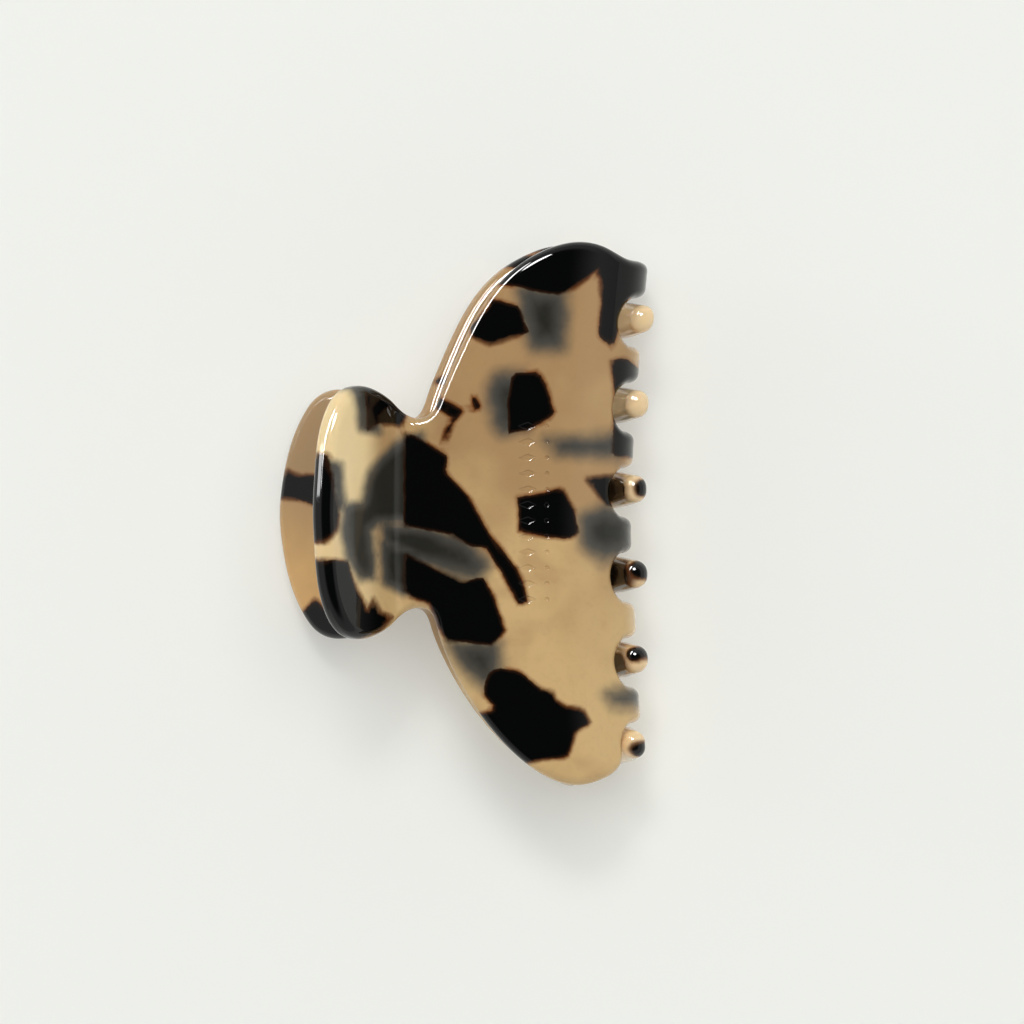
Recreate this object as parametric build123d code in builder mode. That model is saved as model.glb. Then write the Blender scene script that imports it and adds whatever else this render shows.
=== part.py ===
import os
from math import cos, radians, sin

from build123d import *

os.makedirs("parts", exist_ok=True)

# Claw hair clip: two jaws of bent acetate sheet on a sprung hinge, lying on its lower jaw.
#
# The clip is drawn about its hinge. X runs from the handles to the teeth, Y runs along the hinge
# pin, and Z is square to the plane midway between the jaws, with the upper jaw on +Z.
# LYING at the end turns it to how it rests on a table, with the origin below its middle.

# Sheet and the curve it is bent to, from the handle to the teeth
THICK = 4.0
VALLEY = (-3.0, 5.3)          # lowest point of the sheet's middle line, at the crease
VALLEY_RADIUS = 5.5
HANDLE_SLOPE = 42.0
BODY_SLOPE = 28.0
BODY_FLAT = 5.0
BELLY_RADIUS = 27.2
BELLY_TURN = 48.0
SHOULDER_RADIUS = 12.0
SHOULDER_TURN = 66.0
HANDLE_RUN = 22.0
TOOTH_RUN = 14.0
BOW_ANGLE = 9.0
BOW_RADIUS = 380.0            # the sheet also bows lengthwise, its ends towards the teeth

# Outline of a jaw, seen square on
NECK = 15.7                   # half the width at the neck, which is at X 0
HANDLE = [(-19.1, 8.5), (-17.6, 15.0), (-15.4, 19.0), (-12.0, 20.8), (-8.4, 20.1),
          (-4.9, 17.9), (-2.6, 16.4)]
HANDLE_TIP = -19.7
BODY_TOP = [(2.0, 17.0), (3.3, 19.6), (5.2, 24.4), (7.8, 30.4), (10.9, 35.8), (14.9, 40.3),
            (20.0, 43.5), (25.6, 44.9), (30.4, 44.3)]
BODY_FOOT = [(1.9, -16.7), (3.0, -19.0), (5.0, -24.4), (7.4, -29.4), (10.5, -34.4),
             (14.6, -39.4), (20.0, -43.4), (25.7, -45.1), (31.2, -43.7)]
TOOTH_END = (35.0, 42.6)      # where the outline runs out beside an end tooth
GAP_END = (36.0, 38.2)        # and where it runs out at the end with no tooth
LOWER_SKEW = (-0.02, 0.09)    # the lower jaw's ends are cut a little closer to its teeth

# Teeth
TEETH = 6
PITCH = 14.1
TOOTH_OFFSET = PITCH / 4      # up one jaw and down the other, so the teeth interleave
LOWER_SHIFT = 0.5             # the lower jaw's teeth are cut a little further up
GAP_RADIUS = 3.9
ROOT_TURN = 42.0              # how far round the shoulder the gaps' centres are
TIP_DROP = 12.7               # from the gaps' centres to the tips
TIP_WIDTH = 4.3
TIP_ROUND = 1.5
EDGE_ROUND = 0.8

# Hinge
PIN_RADIUS = 1.0
PIN_FIT = 0.05
PIN_HALF = 13.3
HEAD_RADIUS = 1.9
HEAD_HEIGHT = 0.9
KNUCKLE_RADIUS = 3.2
KNUCKLE_TOP = 6.2
KNUCKLE_LENGTH = 4.0
OUTER_KNUCKLE = 9.0
INNER_KNUCKLE = 4.5

# Spring
WIRE_RADIUS = 0.6
COIL_RADIUS = 1.9
COIL_HALF = 3.4
COIL_TURNS = 5
LEG_ANGLE = 81.0              # where the legs leave the coil, either side of the teeth
LEG_GAP = 0.8                 # from a handle's inner face to the middle of the wire
LEG_LENGTH = 8.0
LEG_HOOK = 1.2
LEG_HOLE = 0.75

# Pattern pressed into the upper jaw
MARK_X = 16.6
MARK_ROWS = 12
MARK_PITCH = 2.6
MARK_DEPTH = 0.25

LYING_TILT = 11.0             # rests on the lower handle's edge and the lower belly


def bent(turns):
    """Where the sheet's middle line has got to after some (radius, turn) bends and runs."""
    x = VALLEY[0] - VALLEY_RADIUS * sin(radians(HANDLE_SLOPE))
    z = VALLEY[1] + VALLEY_RADIUS * (1 - cos(radians(HANDLE_SLOPE)))
    heading = radians(-HANDLE_SLOPE)
    for radius, turn in turns:
        if turn == 0:
            x += radius * cos(heading)
            z += radius * sin(heading)
            continue
        after = heading + radians(turn)
        side = 1 if turn > 0 else -1
        x += side * radius * (sin(after) - sin(heading))
        z -= side * radius * (cos(after) - cos(heading))
        heading = after
    return x, z, heading


BENDS = [
    (VALLEY_RADIUS, HANDLE_SLOPE + BODY_SLOPE),
    (BODY_FLAT, 0),
    (BELLY_RADIUS, -BELLY_TURN),
    (SHOULDER_RADIUS, -SHOULDER_TURN),
    (TOOTH_RUN, 0),
]


def sheet_side(shift):
    """One face of the bent sheet, `shift` mm outward of its middle line."""
    x, z, heading = bent([])
    x -= shift * sin(heading)
    z += shift * cos(heading)
    line = [Line((x - HANDLE_RUN * cos(heading), z - HANDLE_RUN * sin(heading)), (x, z))]
    for radius, turn in BENDS:
        if turn == 0:
            line.append(PolarLine(line[-1] @ 1, radius, direction=line[-1] % 1))
        else:
            inward = 1 if turn > 0 else -1
            line.append(JernArc(line[-1] @ 1, line[-1] % 1, radius - inward * shift, turn))
    return line


def sheet(low, high):
    """The sheet between two distances from its middle line, wider than a jaw."""
    axis = Axis((VALLEY[0] + BOW_RADIUS, 0, 0), (0, 0, 1))
    with BuildPart() as bar:
        with BuildSketch(Plane.XZ):
            with BuildLine():
                outer = sheet_side(high)
                inner = sheet_side(low)
                Line(outer[0] @ 0, inner[0] @ 0)
                Line(outer[-1] @ 1, inner[-1] @ 1)
            make_face()
        revolve(axis=axis, revolution_arc=2 * BOW_ANGLE)
    return bar.part.rotate(axis, -BOW_ANGLE)


def outline(side, skew):
    """Everything inside a jaw's outline, as seen from above."""
    ends = (TOOTH_END, GAP_END) if side > 0 else (GAP_END, TOOTH_END)
    with BuildPart() as inside:
        with BuildSketch(Plane.XY.offset(-20)):
            with BuildLine():
                lobe = [(HANDLE_TIP, 0), *HANDLE, (0, NECK)]
                top = lobe + [(x - skew[0] * y, y) for x, y in BODY_TOP] + [ends[0]]
                foot = [(x, -y) for x, y in lobe] + [(x - skew[1] * y, y) for x, y in BODY_FOOT]
                foot += [(ends[1][0], -ends[1][1])]
                above = Spline(*top, tangents=[(0, 1), (1, -0.8)])
                below = Spline(*foot, tangents=[(0, -1), (1, 0.8)])
                Polyline(above @ 1, (50, (above @ 1).Y), (50, (below @ 1).Y), below @ 1)
            make_face()
        extrude(amount=60)
    return inside.part


def tooth():
    """The outline of one tooth, its root's middle at the origin and its tip towards -Y."""
    root = PITCH / 2 - GAP_RADIUS
    with BuildSketch() as flat:
        with BuildLine():
            Polyline((-root, 1), (-root, 0), (-TIP_WIDTH / 2, -TIP_DROP),
                     (TIP_WIDTH / 2, -TIP_DROP), (root, 0), (root, 1), close=True)
        make_face()
        fillet(flat.vertices().group_by(Axis.Y)[0], TIP_ROUND)
    return flat.sketch


def gaps(side):
    """What is cut from the sheet beyond the roots of the teeth."""
    x, z, heading = bent([*BENDS[:3], (SHOULDER_RADIUS, -ROOT_TURN)])
    square = (-sin(heading), 0, cos(heading))
    middle = side * TOOTH_OFFSET + (0 if side > 0 else LOWER_SHIFT)
    teeth = [middle + PITCH * (n - (TEETH - 1) / 2) for n in range(TEETH)]
    one_tooth = tooth()
    with BuildPart() as cut:
        with BuildSketch(Plane(origin=(x, 0, z), x_dir=(0, 1, 0), z_dir=square)):
            with Locations((0, -15)):
                Rectangle(110, 30)
            with Locations(*[(y - side * PITCH / 2, 0) for y in teeth]):
                Circle(GAP_RADIUS)
            with Locations((middle - side * (PITCH * TEETH / 2 + 6), 0)):
                Rectangle(12, 2 * GAP_RADIUS)
            with Locations(*[(y, 0) for y in teeth]):
                add(one_tooth, mode=Mode.SUBTRACT)
        extrude(amount=14, both=True)
    return cut.part


def rounded(edge):
    """Whether an edge runs round the outline: not the sheet's bends, nor the teeth."""
    middle = edge @ 0.5
    if edge.geom_type == GeomType.CIRCLE or abs((edge % 0.5).Z) > 0.93 or edge.length < 4:
        return False
    return middle.X < 26 or (middle.X < 33 and abs(middle.Y) > 36)


def leg_path(side):
    """A leg of the spring from the coil to its hook, and where the hook is and how it points."""
    x, z, heading = bent([])
    centre = (VALLEY[0], side * (VALLEY[1] + VALLEY_RADIUS))
    reach = VALLEY_RADIUS + THICK / 2 + LEG_GAP
    lean = radians(LEG_ANGLE)
    start = (COIL_RADIUS * cos(lean), side * COIL_RADIUS * sin(lean))
    under = (centre[0] - reach * cos(lean), centre[1] - side * reach * sin(lean))
    straight = Line(start, under)
    bend = JernArc(under, straight % 1, reach, -side * (LEG_ANGLE + HANDLE_SLOPE - 90))
    rest = PolarLine(bend @ 1, LEG_LENGTH, direction=bend % 1)
    square = (sin(-heading), side * cos(heading))
    hook = PolarLine(rest @ 1, LEG_GAP + LEG_HOOK, direction=square)
    return [straight, bend, rest, hook]


def leg_plane(side):
    """The plane a leg lies in, drawn in X and Z."""
    return Plane(origin=(0, side * COIL_HALF, 0), x_dir=(1, 0, 0), z_dir=(0, -1, 0))


def leg_hole(side):
    """The blind hole in a handle that holds the hook at the end of the spring's leg."""
    x, z, heading = bent([])
    hook = leg_plane(side).from_local_coords(leg_path(1)[-1] @ 1)
    square = (-sin(heading), 0, cos(heading))
    with BuildPart() as hole:
        with BuildSketch(Plane(origin=hook, z_dir=square)):
            Circle(LEG_HOLE)
        extrude(amount=0.3)
        extrude(hole.faces().sort_by(Axis.Z)[0], amount=3)
    return hole.part


def lozenge():
    """One lozenge of the pressed pattern."""
    with BuildSketch() as flat:
        with BuildLine():
            Polyline((-1.6, 0), (0, -0.8), (1.6, 0), (0, 0.8), close=True)
        make_face()
    return flat.sketch


def marks():
    """A generic pattern of lozenges and dots, pressed a little way into the outer face."""
    one_lozenge = lozenge()
    with BuildPart() as pressed:
        with BuildSketch(Plane.XY.offset(5)):
            with GridLocations(0, MARK_PITCH, 1, MARK_ROWS):
                with Locations((MARK_X, 0)):
                    add(one_lozenge)
                with Locations((MARK_X + 3, 0)):
                    Circle(0.45)
        extrude(amount=15)
        add(sheet(THICK / 2 - MARK_DEPTH, THICK / 2 + 1), mode=Mode.INTERSECT)
    return pressed.part


def jaw(side, skew):
    """A jaw's plate as an upper jaw: bent sheet, trimmed to its outline and cut into teeth."""
    with BuildPart() as plate:
        add(sheet(-THICK / 2, THICK / 2))
        add(outline(side, skew), mode=Mode.INTERSECT)
        add(gaps(side), mode=Mode.SUBTRACT)
        fillet(plate.edges().filter_by(rounded), EDGE_ROUND)
        add(leg_hole(side), mode=Mode.SUBTRACT)
        if side > 0:
            add(marks(), mode=Mode.SUBTRACT)
    return plate.part if side > 0 else plate.part.mirror(Plane.XY)


def knuckle(side, start, plate):
    """A block glued inside a jaw, with the pin's bore through it."""
    at = Plane(origin=(0, start, 0), x_dir=(1, 0, 0), z_dir=(0, -1, 0))
    with BuildPart() as block:
        with BuildSketch(at):
            Circle(KNUCKLE_RADIUS)
            with Locations((0, side * KNUCKLE_TOP / 2)):
                Rectangle(2 * KNUCKLE_RADIUS, KNUCKLE_TOP)
            Circle(PIN_RADIUS + PIN_FIT, mode=Mode.SUBTRACT)
        extrude(amount=-KNUCKLE_LENGTH)
        add(plate, mode=Mode.SUBTRACT)
    return block.part


with BuildPart() as upper_jaw:
    add(jaw(1, (0, 0)))

with BuildPart() as lower_jaw:
    add(jaw(-1, LOWER_SKEW))

with BuildPart() as upper_outer_knuckle:
    add(knuckle(1, -OUTER_KNUCKLE - KNUCKLE_LENGTH, upper_jaw.part))

with BuildPart() as upper_inner_knuckle:
    add(knuckle(1, INNER_KNUCKLE, upper_jaw.part))

with BuildPart() as lower_outer_knuckle:
    add(knuckle(-1, OUTER_KNUCKLE, lower_jaw.part))

with BuildPart() as lower_inner_knuckle:
    add(knuckle(-1, -INNER_KNUCKLE - KNUCKLE_LENGTH, lower_jaw.part))

with BuildPart() as hinge_pin:
    Cylinder(PIN_RADIUS, 2 * PIN_HALF, rotation=(90, 0, 0))
    with Locations((0, PIN_HALF + HEAD_HEIGHT / 2, 0), (0, -PIN_HALF - HEAD_HEIGHT / 2, 0)):
        Cylinder(HEAD_RADIUS, HEAD_HEIGHT, rotation=(90, 0, 0))
    rims = hinge_pin.edges().filter_by(GeomType.CIRCLE).sort_by(Axis.Y)
    fillet([rims[0], rims[-1]], HEAD_HEIGHT * 0.75)

with BuildPart() as spring:
    turn = 2 * LEG_ANGLE + 360 * COIL_TURNS
    length = 2 * COIL_HALF
    lean = radians(LEG_ANGLE)
    coil_plane = Plane(origin=(0, -COIL_HALF, 0), x_dir=(cos(lean), 0, -sin(lean)), z_dir=(0, 1, 0))
    coil = coil_plane * Helix(length * 360 / turn, length, COIL_RADIUS, lefthand=True)
    with BuildSketch(Plane(origin=coil @ 0, z_dir=coil % 0)):
        Circle(WIRE_RADIUS)
    sweep(path=coil, is_frenet=True)
    for side in (1, -1):
        leg = Wire([leg_plane(side) * piece for piece in leg_path(side)])
        with BuildSketch(Plane(origin=leg @ 0, z_dir=leg % 0)):
            Circle(WIRE_RADIUS)
        sweep(path=leg, transition=Transition.ROUND)
        with Locations(leg @ 0):
            Sphere(WIRE_RADIUS)

PIECES = {
    "upper_jaw": upper_jaw,
    "lower_jaw": lower_jaw,
    "upper_outer_knuckle": upper_outer_knuckle,
    "upper_inner_knuckle": upper_inner_knuckle,
    "lower_outer_knuckle": lower_outer_knuckle,
    "lower_inner_knuckle": lower_inner_knuckle,
    "hinge_pin": hinge_pin,
    "spring": spring,
}

# Lay the clip down, and put the origin below the middle of its outer box
tilt = Location((0, 0, 0), (0, LYING_TILT, 0))
lying = Compound([tilt * piece.part for piece in PIECES.values()]).bounding_box()
place = Location((-lying.center().X, -lying.center().Y, -lying.min.Z)) * tilt
for name, piece in PIECES.items():
    piece.part = place * piece.part
    piece.part.label = name
    export_step(piece.part, f"parts/{name}.step")
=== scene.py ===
import random
from math import cos, pi, radians, sin

import bpy
import numpy as np
from mathutils import Matrix, Vector
from mathutils.geometry import delaunay_2d_cdt


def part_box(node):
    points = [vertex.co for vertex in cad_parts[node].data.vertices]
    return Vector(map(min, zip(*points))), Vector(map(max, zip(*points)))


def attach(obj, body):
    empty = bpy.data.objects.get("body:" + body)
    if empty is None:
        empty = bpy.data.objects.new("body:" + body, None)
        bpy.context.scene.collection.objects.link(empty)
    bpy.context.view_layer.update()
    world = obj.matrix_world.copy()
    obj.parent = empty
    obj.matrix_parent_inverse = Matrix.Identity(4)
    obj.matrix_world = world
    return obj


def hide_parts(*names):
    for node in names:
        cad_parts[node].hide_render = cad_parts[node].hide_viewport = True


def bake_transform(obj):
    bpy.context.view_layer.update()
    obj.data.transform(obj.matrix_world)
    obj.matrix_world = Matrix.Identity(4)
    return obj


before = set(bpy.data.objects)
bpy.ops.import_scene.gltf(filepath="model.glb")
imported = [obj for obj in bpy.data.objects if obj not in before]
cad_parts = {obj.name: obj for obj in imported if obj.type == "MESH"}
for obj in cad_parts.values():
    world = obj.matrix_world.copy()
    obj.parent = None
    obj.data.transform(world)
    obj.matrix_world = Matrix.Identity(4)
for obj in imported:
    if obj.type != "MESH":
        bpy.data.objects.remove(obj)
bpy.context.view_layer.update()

MM = 0.001

# ------------------------------------------------------------------------------------------------
# The clip's own shape in mm, with the CAD's bends: X from the handles to the teeth, Y along the
# hinge and Z out of the upper jaw, all from the hinge. In the flat sheet, s runs along its middle
# line from the end of the handle's straight, y is the same Y, and t is from its middle to its face.
HALF_THICK = 2.0
BENDS = [(5.5, 70.0), (5.0, 0), (27.2, -48.0), (12.0, -66.0)]  # (radius, turn), or (run, 0)
HANDLE_SLOPE = radians(42.0)
VALLEY = (-3.0, 5.3)
BOW_RADIUS = 380.0
LYING_TILT = radians(11.0)  # as it rests on its lower handle's edge and its belly
TABLE_REACH = (-24.0, 72.0)  # s of the ends of the middle line's tables
TABLE_STEP = 0.02
HINGE = np.mean(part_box("hinge_pin"), axis=0) / MM

# Outlines, as (X, Y) of the sheet's middle, within about half a millimetre of the CAD's: the
# handles, then the bodies' ends above and below the neck
HANDLE = [(-19.1, 0), (-18.8, 6), (-18.1, 12.5), (-16.7, 16.9), (-14.6, 19.9), (-12.0, 20.9),
          (-8.4, 20.1), (-4.9, 17.9), (-2.6, 16.3), (0, 15.7)]
LOWER_HANDLE = [(-19.8, 0), (-19.3, 6), (-17.9, 12.5), (-16.1, 16.9), (-14.2, 19.6), (-12.0, 20.7),
                *HANDLE[6:]]
TOP = [(1.8, 16.7), (3.1, 19.5), (5.0, 24.4), (7.6, 30.4), (10.6, 35.8), (14.7, 40.4),
       (19.8, 43.5), (24.6, 44.8)]
FOOT = [(1.7, -16.5), (2.6, -19.0), (4.4, -24.4), (6.8, -29.4), (10.0, -34.4),
        (14.3, -39.4), (19.8, -43.5), (24.6, -45.0)]
LOWER_SKEW = (-0.02, 0.09)  # how far the lower jaw is cut askew, above and below
LOWER_SHIFT = 0.5  # how much further up the lower jaw's teeth are cut

# Teeth
PITCH = 14.1
TOOTH_OFFSET = PITCH / 4
GAP_RADIUS = 3.9
ROOT_S = 43.3
TOOTH_LENGTH = 13.3
ROOT_HALF = PITCH / 2 - GAP_RADIUS
TIP_HALF = 2.15
TIP_ROUND = 2.05
EDGE_ROUND = [(-12, 1.7), (-2, 1.6), (40, 1.6), (46, 1.4), (52, 1.9)]  # (s, radius)
GRID = 1.1  # the spacing of the points that fill a face
# How far the teeth lean out in X, as (Y, lean): those of a hand-bent sheet aren't all alike. The
# lean comes in over a stretch of s, which starts later on the lower jaw.
UPPER_LEAN = [(-31.7, 0.25), (-17.6, 0.5), (-3.5, 0.15), (10.6, 0.4), (24.7, 0.75), (38.8, 0.8)]
LOWER_LEAN = [(-38.3, -1.05), (-24.2, 0.6), (-10.1, 1.15), (32.2, 1.0)]
UPPER_LEAN_FROM = 34.0
LOWER_LEAN_FROM = 42.0
LEAN_RUN = 12.0


def sheet_tables():
    """Tables of X, Z and heading along the middle line, against s."""
    step = TABLE_STEP
    s = np.arange(*TABLE_REACH, step)
    heading = np.full(len(s), -HANDLE_SLOPE)
    at = 0.0
    for radius, turn in BENDS:
        length = radius * abs(radians(turn)) if turn else radius
        heading = heading + np.clip((s - at) / length, 0, 1) * radians(turn)
        at += length
    x = np.concatenate([[0], np.cumsum(np.cos((heading[1:] + heading[:-1]) / 2) * step)])
    z = np.concatenate([[0], np.cumsum(np.sin((heading[1:] + heading[:-1]) / 2) * step)])
    radius = BENDS[0][0]
    x += VALLEY[0] - radius * sin(HANDLE_SLOPE) - np.interp(0, s, x)
    z += VALLEY[1] + radius * (1 - cos(HANDLE_SLOPE)) - np.interp(0, s, z)
    return s, x, z, heading


S_TABLE, X_TABLE, Z_TABLE, HEADING_TABLE = sheet_tables()


def s_at(x, y):
    """How far along the sheet the plan point (x, y) is."""
    return float(np.interp(x - y * y / (2 * BOW_RADIUS), X_TABLE, S_TABLE))


def bend_up(flat, normal):
    """Points and directions of the flat sheet, bent into the upper jaw."""
    s, y, t = flat.T
    along, across, out = normal.T
    heading = np.interp(s, S_TABLE, HEADING_TABLE)
    c, k = np.cos(heading), np.sin(heading)
    x = np.interp(s, S_TABLE, X_TABLE) - t * k
    z = np.interp(s, S_TABLE, Z_TABLE) + t * c
    point = np.stack([x + y * y / (2 * BOW_RADIUS), y, z], 1)
    nx = along * c - out * k
    direction = np.stack([nx, across - nx * y / BOW_RADIUS, along * k + out * c], 1)
    return point, direction / np.linalg.norm(direction, axis=1)[:, None]


def lay_down(vectors, are_points):
    """From the hinge's frame in mm to the row frame in metres."""
    c, k = cos(LYING_TILT), sin(LYING_TILT)
    x, y, z = vectors.T
    turned = np.stack([x * c + z * k, y, z * c - x * k], 1)
    return (turned + HINGE) * MM if are_points else turned


# ------------------------------------------------------------------------------------------------
# Flat outlines


def spline(points, spacing=0.45):
    """A smooth line through points: a natural cubic against chord length."""
    p = np.array(points, float)
    t = np.concatenate([[0], np.cumsum(np.linalg.norm(np.diff(p, axis=0), axis=1))])
    h = np.diff(t)
    count = len(t)
    a, b = np.eye(count), np.zeros((count, 2))
    for i in range(1, count - 1):
        a[i, i - 1:i + 2] = h[i - 1], 2 * (h[i - 1] + h[i]), h[i]
        b[i] = 6 * ((p[i + 1] - p[i]) / h[i] - (p[i] - p[i - 1]) / h[i - 1])
    m = np.linalg.solve(a, b)
    q = np.linspace(0, t[-1], int(t[-1] / spacing) + 1)
    k = np.clip(np.searchsorted(t, q, side="right") - 1, 0, count - 2)
    u, v, w = (q - t[k])[:, None], (t[k + 1] - q)[:, None], h[k][:, None]
    bends = (m[k] * v**3 + m[k + 1] * u**3) / (6 * w)
    return bends + (p[k] / w - m[k] * w / 6) * v + (p[k + 1] / w - m[k + 1] * w / 6) * u


def rounded(points, radius, steps=10):
    """An open run of straight lines with its inner corners rounded."""
    p = np.array(points, float)
    out = [p[0]]
    for before, corner, after in zip(p, p[1:], p[2:]):
        u = (before - corner) / np.linalg.norm(before - corner)
        v = (after - corner) / np.linalg.norm(after - corner)
        half = np.arccos(np.clip(u @ v, -1, 1)) / 2
        centre = corner + (u + v) / np.linalg.norm(u + v) * radius / sin(half)
        first = corner + u * radius / np.tan(half) - centre
        last = corner + v * radius / np.tan(half) - centre
        sweep = pi - 2 * half
        for f in np.linspace(0, 1, steps):
            arm = np.sin((1 - f) * sweep) * first + np.sin(f * sweep) * last
            out.append(centre + arm / sin(sweep))
    return np.array([*out, p[-1]])


def even(loop, spacing=0.4):
    """A closed loop with its points evenly spaced."""
    p = np.vstack([loop, loop[:1]])
    d = np.concatenate([[0], np.cumsum(np.linalg.norm(np.diff(p, axis=0), axis=1))])
    q = np.linspace(0, d[-1], int(d[-1] / spacing), endpoint=False)
    return np.stack([np.interp(q, d, p[:, 0]), np.interp(q, d, p[:, 1])], 1)


def gap_arc(y, first, last):
    """The rounded root between two teeth, centred on y."""
    a = np.radians(np.linspace(first, last, 32))
    return np.stack([ROOT_S - GAP_RADIUS * np.sin(a), y + GAP_RADIUS * np.cos(a)], 1)


def jaw_outline(side):
    """A jaw's closed outline in the flat sheet. The upper jaw is side 1, the lower one -1."""
    skew = (0, 0) if side > 0 else LOWER_SKEW
    shift = 0 if side > 0 else LOWER_SHIFT
    end_tooth = side * TOOTH_OFFSET + shift + 2.5 * PITCH
    last_root = 2.5 * PITCH + TOOTH_OFFSET - shift + ROOT_HALF
    beside_tooth = [(35.6, 44.1), (38.2, 42.95), (40.6, 42.15), (ROOT_S, last_root)]
    beside_gap = [(35.6, 43.9), (37.6, 42.9), (38.9, 41.8)]
    ends = (beside_tooth, beside_gap) if side > 0 else (beside_gap, beside_tooth)
    top = [(s_at(x - skew[0] * y, y), y) for x, y in TOP] + ends[0]
    foot = [(s_at(x - skew[1] * y, y), y) for x, y in FOOT] + [(s, -y) for s, y in ends[1]]
    lobe = [(s_at(x, y), y) for x, y in (HANDLE if side > 0 else LOWER_HANDLE)]
    lobe = [(s, -y) for s, y in lobe[:0:-1]] + lobe
    parts = [spline(foot[::-1] + lobe + top)]
    if side < 0:
        parts.append(gap_arc(end_tooth + PITCH / 2, 75, 180))
    for n in range(6):
        y = end_tooth - n * PITCH
        parts.append(rounded([(ROOT_S, y + ROOT_HALF), (ROOT_S + TOOTH_LENGTH, y + TIP_HALF),
                              (ROOT_S + TOOTH_LENGTH, y - TIP_HALF), (ROOT_S, y - ROOT_HALF)],
                             TIP_ROUND))
        if n < 5:
            parts.append(gap_arc(y - PITCH / 2, 0, 180))
    if side > 0:
        parts.append(gap_arc(end_tooth - 5.5 * PITCH, 0, 105))
    loop = even(np.vstack(parts), 0.15)
    for _ in range(14):  # softens what small corners are left
        loop = (np.roll(loop, 1, 0) + 2 * loop + np.roll(loop, -1, 0)) / 4
    return even(loop)


def inside(points, loop):
    """Which points are inside a closed loop."""
    x, y = points[:, :1], points[:, 1:2]
    (x0, y0), (x1, y1) = loop.T, np.roll(loop, -1, 0).T
    crosses = (y0 > y) != (y1 > y)
    rise = np.where(y1 == y0, 1, y1 - y0)
    return (crosses & (x < (x1 - x0) * (y - y0) / rise + x0)).sum(1) % 2 == 1


def depth_in(points, loop):
    """How deep points are inside a closed loop, negative outside it."""
    nearest = np.full(len(points), 1e9)
    for a, b in zip(loop, np.roll(loop, -1, 0)):
        d = b - a
        f = np.clip(((points - a) @ d) / (d @ d), 0, 1)
        nearest = np.minimum(nearest, np.linalg.norm(points - a - f[:, None] * d, axis=1))
    return np.where(inside(points, loop), nearest, -nearest)


# ------------------------------------------------------------------------------------------------
# The tortoiseshell: black patches, then smoky ones, as (u, v) in mm seen from above the upper jaw,
# where u runs from the hinge's crease to the teeth and v is Y
INK = [
    [(15.5, 37.8), (19.3, 42.5), (25, 46), (31.0, 47), (38, 45), (44, 42), (44, 35.7),
     (37.3, 35.7), (35.7, 30.7), (34.5, 27.3), (32.2, 29.3), (32.7, 32.3), (32.7, 38.2),
     (32.2, 40.3), (31.0, 39.2), (28.5, 37.3), (26.0, 35.8), (22.7, 36.2), (19.3, 37.2)],
    [(11.3, 29.0), (10.8, 30.8), (13.5, 33.5), (14.5, 35.2), (19.0, 34.3), (20.8, 29.7),
     (14.0, 27.6)],
    [(5.0, 19.2), (7.2, 18.3), (9.7, 17.0), (8.7, 15.4), (7.0, 16.2), (5.2, 17.3)],
    [(11.2, 19.3), (11.7, 19.5), (12.7, 17.2), (11.4, 17.0)],
    [(7.6, 15.8), (8.2, 14.6), (7.0, 11.5), (6.2, 11.8), (6.6, 13.7)],
    [(17.8, 23.0), (22.3, 23.3), (23.6, 21.2), (25.0, 16.6), (24.0, 15.5), (20.3, 13.5),
     (17.3, 13.0), (17.0, 18.2)],
    [(34.3, 25.3), (36.5, 25.8), (38.5, 24.0), (45, 23.0), (47, 12.5), (39.3, 9.3), (34.3, 9.3),
     (34.7, 12.7), (35.0, 19.0)],
    [(30.0, 5.8), (35.7, 6.4), (37.5, 1.5), (33.7, 1.0)],
    [(18.8, 2.6), (22.7, 3.3), (26.2, 4.0), (28.2, 0.7), (29.3, -3.2), (27.8, -4.3), (23.5, -4.0),
     (19.0, -3.0)],
    [(-0.3, 13.0), (1.5, 12.9), (4.3, 11.2), (7.2, 9.5), (6.7, 6.7), (8.5, 4.8), (11.0, 2.3),
     (12.7, -1.0), (14.3, -3.8), (16.5, -6.3), (18.3, -8.7), (19.8, -11.5), (20.5, -14.7),
     (19.0, -15.3), (17.6, -12.7), (15.8, -9.3), (13.5, -5.8), (11.2, -5.8), (8.0, -3.9),
     (2.7, -2.7), (-0.3, -2.3)],
    [(-0.3, -6.6), (1.0, -7.0), (6.0, -9.5), (9.7, -11.2), (13.0, -10.5), (14.7, -13.8),
     (16.8, -19.5), (14.8, -22.0), (7.0, -21.2), (5.2, -18.3), (4.0, -15.0), (1.0, -13.9),
     (-0.3, -12.8)],
    [(15.5, -25.7), (19.3, -26.3), (22.7, -29.0), (24.7, -29.3), (25.3, -31.0), (26.8, -32.0),
     (29.8, -32.3), (31.0, -34.7), (28.5, -36.3), (28.2, -38.0), (27.0, -40.2), (23.5, -40.7),
     (19.3, -41.5), (18.0, -43.5), (11.0, -33.7), (13.3, -33.0), (15.0, -32.3), (13.3, -30.2),
     (13.2, -28.2), (14.3, -26.2)],
    [(-6.5, 22), (-3.0, 21.5), (0.6, 17.0), (-0.5, 14.2), (-4.0, 14.7), (-6.4, 13.4)],
    [(-16.5, 10.0), (-12.3, 9.6), (-11.7, 6.0), (-11.5, 3.0), (-10.7, 0.0), (-11.0, -2.5),
     (-12.6, -5.0), (-16.5, -4.8)],
    [(-12.4, -7.9), (-9.4, -8.0), (-8.7, -11.0), (-7.2, -14.5), (-6.3, -16.3), (-5.1, -14.0),
     (-4.2, -16.5), (-2.2, -17.2), (-4.0, -19.6), (-8.5, -22), (-12.5, -22), (-12.7, -15.5),
     (-15.0, -11.8)],
]
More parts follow.
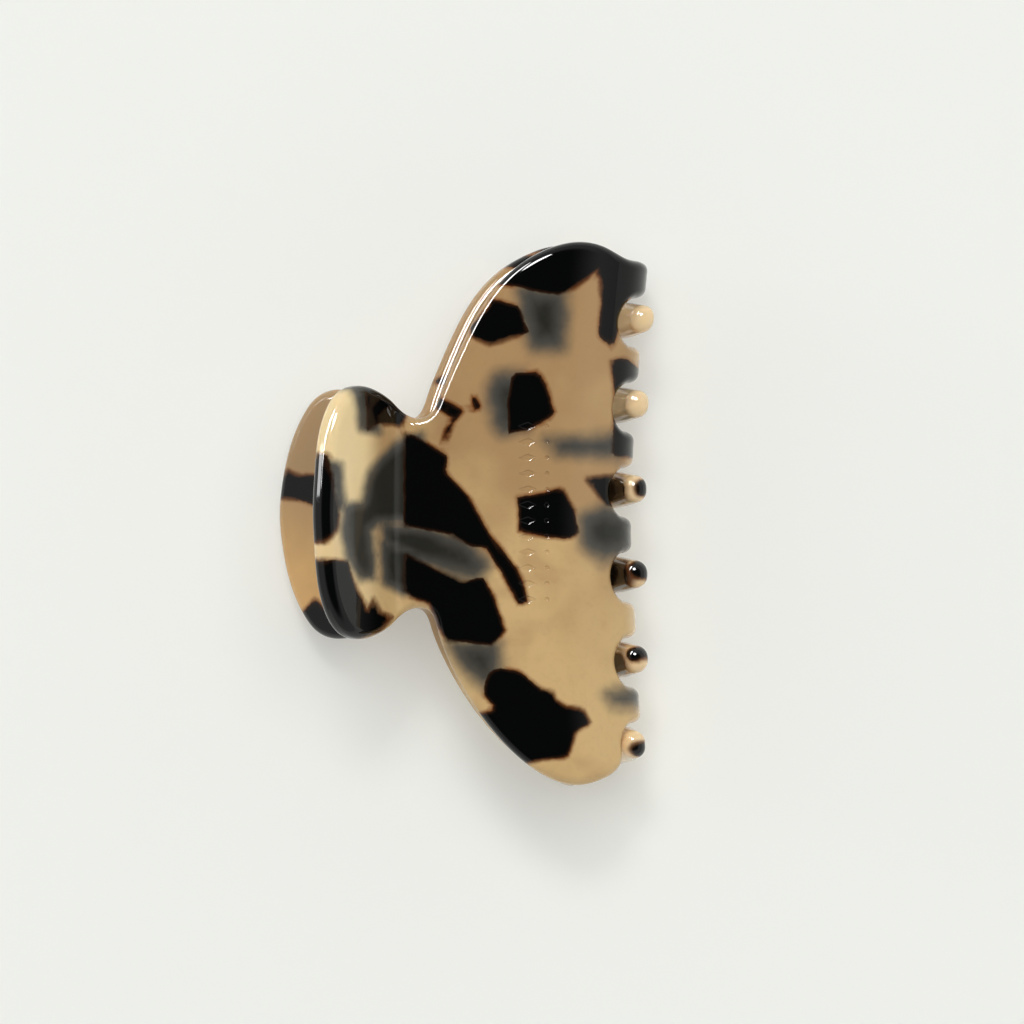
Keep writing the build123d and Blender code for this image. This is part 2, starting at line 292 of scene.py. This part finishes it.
DEEP = [
    [(19.0, 37.2), (26.8, 37.2), (27.2, 31.0), (26.4, 26.8), (21.3, 27.2), (19.4, 31.5)],
    [(13.8, 20.5), (15.5, 23.0), (19.5, 23.0), (20.2, 21.5), (20.2, 14.0), (16.3, 12.8),
     (14.5, 15.0)],
    [(23.5, 12.0), (35.3, 12.8), (35.3, 9.3), (26.0, 9.7)],
    [(29.0, -1.0), (33.3, 1.5), (40.0, -0.2), (40.0, -6.3), (33.0, -8.0), (29.7, -5.3)],
    [(-4.0, -1.8), (-0.7, -2.0), (4.3, -2.4), (8.0, -3.5), (12.0, -5.4), (14.0, -8.5),
     (12.5, -11.3), (9.7, -11.3), (6.0, -9.6), (1.0, -7.3), (-3.3, -5.5)],
    [(7.3, -21.3), (12.3, -21.0), (16.0, -21.5), (16.0, -24.5), (15.5, -26.5), (13.5, -29.0),
     (11.5, -27.5), (9.7, -26.0)],
    [(33.7, -29.7), (40.2, -28.7), (40.2, -31.7), (34.7, -31.9)],
    [(3.0, 13.2), (-0.6, 12.4), (-4.2, 9.2), (-6.3, 6.3), (-7.2, 1.8), (-10.2, 1.2), (-10.6, -2.7),
     (-9.6, -7.7), (-7.4, -11.2), (-4.9, -11.0), (-4.9, -7.0), (-5.6, -3.0), (-4.4, -1.8),
     (3.0, -1.5)],
    [(-4.2, -4.4), (3.0, -6.0), (3.0, -13.6), (-0.5, -13.4), (-3.8, -11.6)],
    [(-8.6, 22), (-4.5, 22.5), (-4.2, 13.0), (-7.6, 13.6)],
    [(-12.6, 8.5), (-10.6, 8.0), (-9.8, 0.4), (-11.8, 0.4)],
]
LOWER_HANDLE_INK = [
    [(-20.0, 4.6), (-17.8, 7.4), (-15.5, 6.4), (-12.5, 6.6), (-12.5, 1.2), (-15.8, 2.4),
     (-20.0, 2.8)],
    [(-15.3, -16.3), (-13.1, -14.2), (-10.5, -16.5), (-8.0, -21), (-11.5, -22), (-16.0, -19)],
]
# On the lower jaw's edge and teeth, (s with a slant through the sheet, y, half length, half width)
SLANT = 0.8
LOWER_SPOTS = [
    (10.5, 22.3, 1.2, 0.7), (24.0, 42.0, 3.0, 1.2), (29.0, 44.0, 2.5, 0.6),
    (59.5, 4.4, 3.4, 2.6), (48.5, 3.9, 5.5, 1.9),
    (49.0, -10.3, 6.5, 2.6), (57.0, -9.0, 2.3, 1.9),
    (48.5, -25.0, 5.0, 1.7), (55.8, -23.2, 1.7, 1.2), (57.6, -39.4, 2.1, 1.5),
]
PATCH_SEED = 11
TOOTH_SPOTS = 12  # small random patches on the upper jaw's teeth
HEIGHT_SHIFT = 0.158  # how far u moves for each mm of height above HEIGHT_LEVEL
HEIGHT_LEVEL = 7.3
OVER_SHOULDER = 45.0  # beyond this s, u follows the turned-down teeth
HANDLE_SMOKE = ([1, 7], [1.9, 1])  # the smoky patches deepen towards the handle: (u, times)
# The lower jaw's hidden patches: the upper's mirrored, moved, and kept off its edge and ends
LOWER_PATCH_MOVE = [2.5, 3.0]
LOWER_PATCH_REACH = (9.0, 43.0)
LOWER_PATCH_MARGIN = 5.0


def patch_depth(points, patches):
    """How deep points are inside the nearest of some patches, negative outside them all."""
    return np.max([depth_in(points, np.array(p, float)) for p in patches], axis=0)


def spot_depth(points, spots):
    """How deep points are inside the nearest of some (x, y, half width, half height) ovals."""
    best = np.full(len(points), -9.0)
    for x, y, wide, tall in spots:
        r = np.hypot((points[:, 0] - x) / wide, (points[:, 1] - y) / tall)
        best = np.maximum(best, (1 - r) * min(wide, tall))
    return best


def seen_from_above(flat, side=1):
    """(u, v) of points of the flat sheet, the same all through its thickness."""
    face = flat.copy()
    face[:, 2] = HALF_THICK
    turned_down = np.maximum(face[:, 0] - OVER_SHOULDER, 0)
    face[:, 0] = np.minimum(face[:, 0], OVER_SHOULDER)
    point = bend_up(face, np.tile([0.0, 0.0, 1.0], (len(face), 1)))[0]
    higher = side * point[:, 2] - HEIGHT_LEVEL
    u = point[:, 0] - VALLEY[0] + HEIGHT_SHIFT * higher + turned_down
    return np.stack([u, point[:, 1]], 1)


def upper_pattern(flat):
    """How deep points of the upper jaw are in a black patch, and in a smoky one."""
    seen = seen_from_above(flat)
    draw = random.Random(PATCH_SEED)
    spots = [(draw.uniform(50, 56), draw.uniform(-40, 40), draw.uniform(2, 5),
              draw.uniform(0.8, 2.2)) for _ in range(TOOTH_SPOTS)]
    ink = np.maximum(patch_depth(seen, INK), spot_depth(flat[:, :2], spots))
    return ink, patch_depth(seen, DEEP) * np.interp(seen[:, 0], *HANDLE_SMOKE)


def lower_pattern(flat):
    """The same for the lower jaw."""
    turned = seen_from_above(flat) * [1, -1] + LOWER_PATCH_MOVE
    first, last = LOWER_PATCH_REACH
    middle = np.minimum(np.minimum(flat[:, 0] - first, last - flat[:, 0]),
                        depth_in(flat[:, :2], jaw_outline(-1)) - LOWER_PATCH_MARGIN)
    ink = np.minimum(patch_depth(turned, INK), middle)
    ink = np.maximum(ink, patch_depth(seen_from_above(flat, -1), LOWER_HANDLE_INK))
    slanted = flat[:, :2] + flat[:, 2:] * [SLANT, 0]
    ink = np.maximum(ink, spot_depth(slanted, LOWER_SPOTS))
    return ink, np.minimum(patch_depth(turned, DEEP), middle)


# ------------------------------------------------------------------------------------------------
# Jaw meshes
MARK_X = 16.6  # the lozenges' row, and the dots' beyond it
DOT_X = 19.6
DOT_RADIUS = 0.45
MARK_ROWS = 12
MARK_PITCH = 2.6
MARK_DEPTH = 0.25
LOZENGE_TAPER = 0.3
DOT_TAPER = 0.2
LIP = radians(8)  # how far a pressed mark's shading leans at the top and foot of its wall
WALL = radians(62)
HOOK_TAPER = 0.02
HOOK_S = -8.0
HOOK_Y = 3.4
HOOK_HOLE = 0.75
HOOK_DEPTH = 1.8


def disc(s, y, radius, count):
    """A circle's points."""
    a = np.linspace(0, 2 * pi, count, endpoint=False)
    return np.stack([s + radius * np.cos(a), y + radius * np.sin(a)], 1)


def lozenge(s, y):
    """One lozenge of the pressed pattern, its long way along the sheet."""
    return even(np.array([(s - 1.6, y), (s, y - 0.8), (s + 1.6, y), (s, y + 0.8)]), 0.45)


def sunk_shapes(side, face):
    """(loop, how far its foot is inside it, depth) of what is sunk into a face."""
    if face < 0:
        return [(disc(HOOK_S, side * HOOK_Y, HOOK_HOLE, 24), HOOK_TAPER, HOOK_DEPTH)]
    if side < 0:
        return []
    rows = [(n - (MARK_ROWS - 1) / 2) * MARK_PITCH for n in range(MARK_ROWS)]
    lozenges = [(lozenge(s_at(MARK_X, y), y), LOZENGE_TAPER, MARK_DEPTH) for y in rows]
    dots = [(disc(s_at(DOT_X, y), y, DOT_RADIUS, 14), DOT_TAPER, MARK_DEPTH) for y in rows]
    return lozenges + dots


def edge_rings(outline):
    """The rounded edge of the sheet: rings of points and their directions, face to face."""
    ahead, behind = np.roll(outline, -1, 0), np.roll(outline, 1, 0)
    along = (ahead - behind) / np.linalg.norm(ahead - behind, axis=1)[:, None]
    area = np.sum(outline[:, 0] * ahead[:, 1] - ahead[:, 0] * outline[:, 1])
    inward = np.stack([-along[:, 1], along[:, 0]], 1) * np.sign(area)
    radius = np.interp(outline[:, 0], *np.array(EDGE_ROUND).T)
    points, directions = [], []
    rings = [(radians(90 - a), 1) for a in range(0, 91, 15)]
    rings += [(a, -1) for a, _ in reversed(rings)]
    for tip, face in rings:  # tip is 90 degrees where a ring meets its face, and 0 at mid-edge
        place = outline + inward * radius[:, None] * (1 - cos(tip))
        points.append(np.column_stack([place, face * (HALF_THICK - radius * (1 - sin(tip)))]))
        outwards = np.full(len(outline), face * sin(tip))
        directions.append(np.column_stack([-inward * cos(tip), outwards]))
    return points, directions


def filled(rim, loops, grid):
    """Triangles between a rim and some loops, over their points and those of the grid."""
    keep = grid[depth_in(grid, rim) > 0.45]
    for loop in loops:
        keep = keep[depth_in(keep, loop) < -0.25]
    points = np.vstack([rim, *loops, keep])
    edges, at = [], 0
    for loop in [rim, *loops]:
        edges += [(at + i, at + (i + 1) % len(loop)) for i in range(len(loop))]
        at += len(loop)
    found = delaunay_2d_cdt([Vector(p) for p in points], edges, [], 0, 1e-6, True)
    source = [o[0] if o else -1 for o in found[3]]
    triangles = np.array([[source[i] for i in t] for t in found[2]])
    triangles = triangles[(triangles >= 0).all(1)]
    middles = points[triangles].mean(1)
    good = inside(middles, rim)
    for loop in loops:
        good &= ~inside(middles, loop)
    return points, triangles[good]


def facing(points):
    """The direction that a polygon faces, by Newell's method."""
    return np.cross(points, np.roll(points, -1, 0)).sum(0)


def jaw_plate(name, side, pattern, material):
    """A jaw's plate as one closed mesh, with smooth shading normals worked out from its curves."""
    outline = jaw_outline(side)
    count = len(outline)
    points, normals = edge_rings(outline)
    last = (len(points) - 1) * count
    faces = [(r * count + i, r * count + (i + 1) % count, (r + 1) * count + (i + 1) % count,
              (r + 1) * count + i) for r in range(len(points) - 1) for i in range(count)]
    points, normals = list(np.vstack(points)), list(np.vstack(normals))
    crisp = {}  # faces of the sunk shapes, and the direction to shade each of their corners by

    grid = np.array([(s + GRID / 2 * (row % 2), y) for row, y in enumerate(np.arange(-46, 46, 0.95))
                     for s in np.arange(-18, 58, GRID)])
    for face, base in ((1, 0), (-1, last)):
        rim = np.array(points[base:base + count])[:, :2]
        shapes = sunk_shapes(side, face)
        spread, triangles = filled(rim, [s[0] for s in shapes], grid)
        index = list(range(base, base + count)) + list(
            range(len(points), len(points) + len(spread) - count))
        points += [np.array([*p, face * HALF_THICK]) for p in spread[count:]]
        normals += [np.array([0.0, 0.0, face])] * (len(spread) - count)
        faces += [tuple(index[i] for i in t) for t in triangles]
        at = count
        for loop, taper, depth in shapes:
            arms = loop - loop.mean(0)
            foot = loop - arms / np.linalg.norm(arms, axis=1)[:, None] * taper
            top = index[at:at + len(loop)]
            at += len(loop)
            low = list(range(len(points), len(points) + len(loop)))
            points += [np.array([*p, face * (HALF_THICK - depth)]) for p in foot]
            normals += [np.array([0.0, 0.0, face])] * len(loop)
            for i in range(len(loop)):
                j = (i + 1) % len(loop)
                turned = {}
                for v, arm, lean in ((top[i], arms[i], LIP), (top[j], arms[j], LIP),
                                     (low[j], arms[j], WALL), (low[i], arms[i], WALL)):
                    inward = -arm / np.linalg.norm(arm)
                    turned[v] = [*(inward * sin(lean)), face * cos(lean)]
                crisp[len(faces)] = turned
                faces.append((top[i], top[j], low[j], low[i]))
            crisp[len(faces)] = {v: [0.0, 0.0, face] for v in low}
            faces.append(tuple(low))

    flat, normals = np.array(points), np.array(normals)
    for n, f in enumerate(faces):
        wanted = np.sum(list(crisp[n].values()), 0) if n in crisp else normals[list(f)].sum(0)
        if (facing(flat[list(f)]) @ wanted < 0) == (side > 0):
            faces[n] = f[::-1]

    solid, directions = bend_up(flat, normals)
    lean, first = (UPPER_LEAN, UPPER_LEAN_FROM) if side > 0 else (LOWER_LEAN, LOWER_LEAN_FROM)
    share = np.clip((flat[:, 0] - first) / LEAN_RUN, 0, 1)
    solid[:, 0] += share * share * (3 - 2 * share) * np.interp(flat[:, 1], *np.array(lean).T)
    solid[:, 2] *= side
    directions[:, 2] *= side
    mesh = bpy.data.meshes.new(name)
    mesh.from_pydata(lay_down(solid, True).tolist(), [], faces)
    mesh.update()
    mesh.polygons.foreach_set("use_smooth", [True] * len(mesh.polygons))
    directions = lay_down(directions, False)
    own = [(n, v) for n in crisp for v in crisp[n]]
    own_directions = bend_up(flat[[v for _, v in own]], np.array([crisp[n][v] for n, v in own]))[1]
    own_directions = dict(zip(own, lay_down(own_directions * [1, 1, side], False)))
    corners = [tuple(own_directions.get((n, v), directions[v]))
               for n, poly in enumerate(mesh.polygons) for v in poly.vertices]
    mesh.normals_split_custom_set(corners)

    ink, deep = pattern(flat)
    for key, values in (("ink", ink), ("deep", deep)):
        attribute = mesh.attributes.new(key, "FLOAT", "POINT")
        attribute.data.foreach_set("value", values.astype(np.float32))
    attribute = mesh.attributes.new("flat", "FLOAT_VECTOR", "POINT")
    attribute.data.foreach_set("vector", flat.astype(np.float32).ravel())
    mesh.materials.append(material)
    plate = bpy.data.objects.new(name, mesh)
    bpy.context.scene.collection.objects.link(plate)
    return plate


# ------------------------------------------------------------------------------------------------
# Materials


def linear(*srgb):
    """A colour given as 0-255 sRGB, as Blender's linear RGBA."""
    parts = [c / 255 for c in srgb]
    return (*(c / 12.92 if c <= 0.04045 else ((c + 0.055) / 1.055) ** 2.4 for c in parts), 1)


class Nodes:
    """Builds one material's nodes."""

    def __init__(self, name):
        self.material = bpy.data.materials.new(name)
        self.material.use_nodes = True
        self.tree = self.material.node_tree
        self.shader = self.tree.nodes["Principled BSDF"]

    def node(self, kind, **values):
        made = self.tree.nodes.new(kind)
        for key, value in values.items():
            setattr(made, key, value)
        return made

    def link(self, source, target):
        if hasattr(source, "outputs"):
            source = source.outputs[0]
        if isinstance(source, bpy.types.NodeSocket):
            self.tree.links.new(source, target)
        else:
            target.default_value = source

    def attribute(self, name, vector=False):
        made = self.node("ShaderNodeAttribute", attribute_name=name)
        return made.outputs["Vector" if vector else "Fac"]

    def maths(self, operation, *inputs):
        made = self.node("ShaderNodeMath", operation=operation)
        for value, target in zip(inputs, made.inputs):
            self.link(value, target)
        return made.outputs[0]

    def noise(self, place, scale, detail=3.0, roughness=0.5, distortion=0.0):
        made = self.node("ShaderNodeTexNoise")
        self.link(place, made.inputs["Vector"])
        for key, value in (("Scale", scale), ("Detail", detail), ("Roughness", roughness),
                           ("Distortion", distortion)):
            made.inputs[key].default_value = value
        return made.outputs["Fac"]

    def stretched(self, place, scale, turn=(0, 0, 0), shift=(0, 0, 0)):
        made = self.node("ShaderNodeMapping")
        self.link(place, made.inputs["Vector"])
        made.inputs["Scale"].default_value = scale
        made.inputs["Rotation"].default_value = [radians(a) for a in turn]
        made.inputs["Location"].default_value = shift
        return made.outputs[0]

    def ramp(self, value, low, high, to=(0.0, 1.0), smooth=True):
        kind = "SMOOTHSTEP" if smooth else "LINEAR"
        made = self.node("ShaderNodeMapRange", interpolation_type=kind)
        for number, target in zip((value, low, high, *to), made.inputs):
            self.link(number, target)
        return made.outputs[0]

    def mix(self, factor, first, second):
        made = self.node("ShaderNodeMix", data_type="RGBA")
        for value, key in ((factor, 0), (first, 6), (second, 7)):
            self.link(value, made.inputs[key])
        return made.outputs[2]

    def bump(self, height, distance, strength=1.0):
        made = self.node("ShaderNodeBump")
        made.inputs["Strength"].default_value = strength
        made.inputs["Distance"].default_value = distance
        self.link(height, made.inputs["Height"])
        self.link(made.outputs[0], self.shader.inputs["Normal"])

    def wobble(self, value, size):
        """A noise value centred on nought, times a size."""
        return self.maths("MULTIPLY_ADD", value, size, -size / 2)

    def set(self, **values):
        for key, value in values.items():
            self.shader.inputs[key.replace("_", " ")].default_value = value


def tortoiseshell(name, shift, handle, shoulder_shine):
    """Polished blond acetate with black-brown patches, smoky depths and amber rims, with painted
    light on its teeth.
    Its noise is moved by shift, handle is its two colours at the handle, in which light and shade
    are painted, and shoulder_shine is its specular level from the shoulder on."""
    m = Nodes(name)
    place = m.stretched(m.attribute("flat", True), (1, 1, 1), shift=shift)
    broad = m.noise(place, 0.055, 2.0)
    cloudy = m.noise(place, 0.11, 2.0, 0.5, 0.5)
    loose = m.noise(place, 0.3, 2.0, 0.5)
    fine = m.noise(place, 1.1, 3.0, 0.55)

    # Blond, paler towards -Y; paler still on the teeth, a painted light, and at the handle, with
    # painted light on the upper jaw's and painted shade on the lower jaw's
    split = m.node("ShaderNodeSeparateXYZ")
    m.link(m.attribute("flat", True), split.inputs[0])
    along = m.ramp(split.outputs["Y"], 34, -40, (0.0, 0.6), False)
    along = m.maths("ADD", along, m.wobble(broad, 1.2))
    blond = m.mix(m.ramp(along, 0.1, 0.6), linear(181, 147, 103), linear(214, 182, 129))
    blond = m.mix(m.ramp(cloudy, 0.52, 0.75, (0.0, 0.45)), blond, linear(172, 134, 94))
    blond = m.mix(m.ramp(fine, 0.45, 0.8, (0.0, 0.1)), blond, linear(160, 124, 84))
    # Painted light: the teeth are painted paler for the light they catch from above and let through
    blond = m.mix(m.ramp(split.outputs["X"], 41, 49), blond, linear(243, 213, 166))
    # Painted light and shade: at the handle the colour goes over to the two given ones, the upper
    # jaw's paler for the light from the left and through its thin end, the lower jaw's darker for
    # its shade
    down_handle = m.maths("ADD", m.ramp(split.outputs["Y"], 9, -13), m.wobble(cloudy, 0.8))
    blond = m.mix(m.ramp(split.outputs["X"], -2, -8, (0.0, 0.9)), blond,
                  m.mix(down_handle, *handle))

    # Smoke below the surface
    deep = m.maths("ADD", m.attribute("deep"), m.wobble(loose, 1.6))
    smoke = m.mix(m.ramp(deep, 0.3, 3.8), linear(80, 79, 74), linear(36, 39, 37))
    murk = m.ramp(deep, -2.3, 1.3, (0.0, 0.98))
    clouded = m.mix(murk, blond, smoke)

    # Black patches with amber rims, some sharp and some blurred
    edge = m.maths("ADD", m.attribute("ink"), m.wobble(loose, 0.7))
    edge = m.maths("ADD", edge, m.wobble(fine, 0.3))
    patchy = m.ramp(cloudy, 0.35, 0.65, (0.65, 1.0))
    rim = m.maths("MULTIPLY", m.ramp(edge, -0.75, 0.1), patchy)
    rim = m.maths("MULTIPLY", rim, m.ramp(murk, 0.1, 0.7, (1.0, 0.0)))
    rimmed = m.mix(rim, clouded, linear(126, 72, 36))
    black = m.mix(m.ramp(edge, 0.05, 0.65), linear(44, 25, 13), linear(5, 6, 6))
    elsewhere = m.stretched(place, (1, 1, 1), shift=(9, 4, 0))
    blur = m.ramp(m.noise(elsewhere, 0.13, 1.0), 0.45, 0.7, (0.14, 0.7))
    ink = m.ramp(m.maths("DIVIDE", edge, blur), -1.0, 1.0)
    m.link(m.mix(ink, rimmed, black), m.shader.inputs["Base Color"])

    smears = m.noise(place, 0.8, 5.0, 0.65)
    m.link(m.ramp(smears, 0.4, 0.8, (0.03, 0.08)), m.shader.inputs["Roughness"])
    m.bump(m.noise(place, 0.16, 1.0), 0.00003, 0.5)
    m.link(m.ramp(ink, 0.0, 1.0, (0.18, 0.0)), m.shader.inputs["Subsurface Weight"])
    m.link(m.ramp(split.outputs["X"], 33, 41, (0.38, shoulder_shine)),
           m.shader.inputs["Specular IOR Level"])
    m.set(IOR=1.48, Subsurface_Scale=0.0012)
    m.shader.inputs["Subsurface Radius"].default_value = (1.0, 0.6, 0.3)
    return m.material


def blond_block(name):
    """The glued knuckles: the same acetate with small clouded patches."""
    m = Nodes(name)
    place = m.node("ShaderNodeTexCoord").outputs["Object"]
    broad = m.noise(place, 140, 3.0, 0.55, 0.4)
    fine = m.noise(place, 900, 3.0)
    blond = m.mix(m.ramp(broad, 0.35, 0.65), linear(182, 148, 100), linear(212, 184, 138))
    elsewhere = m.stretched(place, (1, 1, 1), shift=(0.31, 0.2, 0.4))
    edge = m.maths("ADD", m.noise(elsewhere, 170, 4.0, 0.6), m.wobble(fine, 0.08))
    blond = m.mix(m.ramp(edge, 0.54, 0.60), blond, linear(110, 74, 42))
    m.link(m.mix(m.ramp(edge, 0.60, 0.62), blond, linear(7, 6, 5)), m.shader.inputs["Base Color"])
    m.link(m.ramp(fine, 0.3, 0.7, (0.08, 0.16)), m.shader.inputs["Roughness"])
    m.bump(fine, 0.00002, 0.4)
    m.set(IOR=1.48, Subsurface_Weight=0.12, Subsurface_Scale=0.001)
    return m.material


def drawn_steel(name, colour, scale, rough):
    """Bright steel with fine draw lines and slight tarnish."""
    m = Nodes(name)
    place = m.node("ShaderNodeTexCoord").outputs["Object"]
    lines = m.noise(m.stretched(place, scale), 1.0, 3.0, 0.6)
    tarnish = m.noise(place, 450, 4.0, 0.6)
    dark = tuple(c * 0.6 for c in colour[:3]) + (1,)
    m.link(m.mix(m.ramp(tarnish, 0.5, 0.8, (0.0, 0.6)), colour, dark),
           m.shader.inputs["Base Color"])
    m.link(m.ramp(lines, 0.3, 0.7, rough), m.shader.inputs["Roughness"])
    m.bump(lines, 0.00002, 0.5)
    m.set(Metallic=1.0)
    return m.material


# ------------------------------------------------------------------------------------------------
# Pieces
# The handles' colours, with light and shade painted in: the upper handle paler for the light it
# catches from the left and lets through its thin end, the lower one darker, most towards +Y, for
# the shade it is in
UPPER_HANDLE_COLOURS_WITH_PAINTED_LIGHT = (linear(248, 224, 172), linear(238, 210, 158))
LOWER_HANDLE_COLOURS_WITH_PAINTED_SHADE = (linear(172, 142, 104), linear(222, 178, 118))
for side, name, pattern, shift, handle, shine in (
        (1, "upper", upper_pattern, (3, 8, 2), UPPER_HANDLE_COLOURS_WITH_PAINTED_LIGHT, 0.14),
        (-1, "lower", lower_pattern, (71, 38, 12), LOWER_HANDLE_COLOURS_WITH_PAINTED_SHADE, 0.6)):
    material = tortoiseshell(f"{name}_tortoiseshell", shift, handle, shine)
    plate = jaw_plate(f"{name}_plate", side, pattern, material)
    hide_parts(f"{name}_jaw")
    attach(plate, name)

knuckle_material = blond_block("blond_acetate")
for node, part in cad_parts.items():
    if "knuckle" in node:
        part.data.materials.clear()
        part.data.materials.append(knuckle_material)
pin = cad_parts["hinge_pin"]
pin.data.materials.clear()
pin.data.materials.append(
    drawn_steel("pin_steel", linear(205, 203, 198), (4000, 300, 4000), (0.16, 0.34)))

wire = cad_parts["spring"].copy()
wire.data = wire.data.copy()
wire.name = wire.data.name = "spring_wire"
for key in list(wire.keys()):
    del wire[key]
wire.parent = None
bpy.context.scene.collection.objects.link(wire)
wire.data.materials.clear()
wire.data.materials.append(
    drawn_steel("spring_steel", linear(176, 175, 172), (900, 900, 900), (0.2, 0.4)))
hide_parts("spring")
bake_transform(wire)

# ------------------------------------------------------------------------------------------------
# Floor, light and camera
FLOOR_HALF = 3.0
PAPER_GRAIN = 30
floor_mesh = bpy.data.meshes.new("floor")
floor_mesh.from_pydata([(x * FLOOR_HALF, y * FLOOR_HALF, 0)
                        for x, y in ((-1, -1), (1, -1), (1, 1), (-1, 1))], [], [(0, 1, 2, 3)])
paper = Nodes("floor_paper")
paper_place = paper.node("ShaderNodeTexCoord").outputs["Object"]
paper.link(paper.mix(paper.noise(paper_place, PAPER_GRAIN), (0.63, 0.64, 0.61, 1),
                     (0.64, 0.65, 0.62, 1)), paper.shader.inputs["Base Color"])
# The glow keeps the shadows as soft and pale as under a light tent
paper.set(Roughness=0.9, Specular_IOR_Level=0.1, Emission_Color=(1, 1.01, 0.965, 1),
          Emission_Strength=0.29)
floor_mesh.materials.append(paper.material)
floor = bpy.data.objects.new("floor", floor_mesh)
bpy.context.scene.collection.objects.link(floor)

# The studio is bright up to LOW, as the sine of the height above the floor, and dark over HIGH
LOW, HIGH = 0.45, 0.8
LOW_STRENGTH, HIGH_STRENGTH = 0.6, 0.03
world = bpy.data.worlds.new("studio")
world.use_nodes = True
tree = world.node_tree
back = tree.nodes["Background"]
coord = tree.nodes.new("ShaderNodeTexCoord")
split = tree.nodes.new("ShaderNodeSeparateXYZ")
height = tree.nodes.new("ShaderNodeMapRange")
height.interpolation_type = "SMOOTHSTEP"
for value, socket in zip((LOW, HIGH, LOW_STRENGTH, HIGH_STRENGTH), list(height.inputs)[1:5]):
    socket.default_value = value
tree.links.new(coord.outputs["Generated"], split.inputs[0])
tree.links.new(split.outputs["Z"], height.inputs[0])
tree.links.new(height.outputs[0], back.inputs["Strength"])
back.inputs["Color"].default_value = (1.0, 0.995, 0.975, 1)
bpy.context.scene.world = world

CLIP_MIDDLE = 0.015


def area_light(name, direction, distance, size, power, diffuse=True, glossy=True):
    """An oval light aimed at the clip. With glossy off it gives no highlights, and with diffuse
    off it gives nothing else."""
    data = bpy.data.lights.new(name, "AREA")
    data.shape = "ELLIPSE"
    data.size, data.size_y = size
    data.energy = power
    lamp = bpy.data.objects.new(name, data)
    toward = Vector(direction).normalized()
    lamp.location = toward * distance + Vector((0, 0, CLIP_MIDDLE))
    lamp.rotation_euler = toward.to_track_quat("Z", "Y").to_euler()
    lamp.visible_diffuse = diffuse
    lamp.visible_glossy = glossy
    bpy.context.scene.collection.objects.link(lamp)


area_light("top", (0.12, 0.2, 1), 5.0, (4.0, 4.0), 132, glossy=False)
area_light("key", (-0.08, 0.55, 0.85), 3.0, (0.8, 0.6), 18, glossy=False)
area_light("spark", (-0.05, 0.6, 0.8), 3.0, (1.3, 1.0), 170, diffuse=False)
area_light("edge", (-0.75, 0.6, 0.5), 1.5, (1.5, 0.4), 70, diffuse=False)
area_light("side", (-1, 0.3, 0.25), 1.0, (0.4, 0.06), 0.8)

TARGET = Vector((0.00764, 0.0004, 0.0144))
TOWARDS = Vector((0.035, -0.012, 1)).normalized()
DISTANCE = 2.5
LENS_PER_METRE = 211.8
camera_data = bpy.data.cameras.new("camera")
camera_data.sensor_width = 36
camera_data.lens = LENS_PER_METRE * DISTANCE
camera = bpy.data.objects.new("camera", camera_data)
camera.location = TARGET + TOWARDS * DISTANCE
across = Vector((0, 1, 0)).cross(TOWARDS).normalized()
camera.rotation_euler = Matrix((across, TOWARDS.cross(across), TOWARDS)).transposed().to_euler()
bpy.context.scene.collection.objects.link(camera)
bpy.context.scene.camera = camera
bpy.context.scene.view_settings.view_transform = "Standard"

bpy.context.view_layer.update()
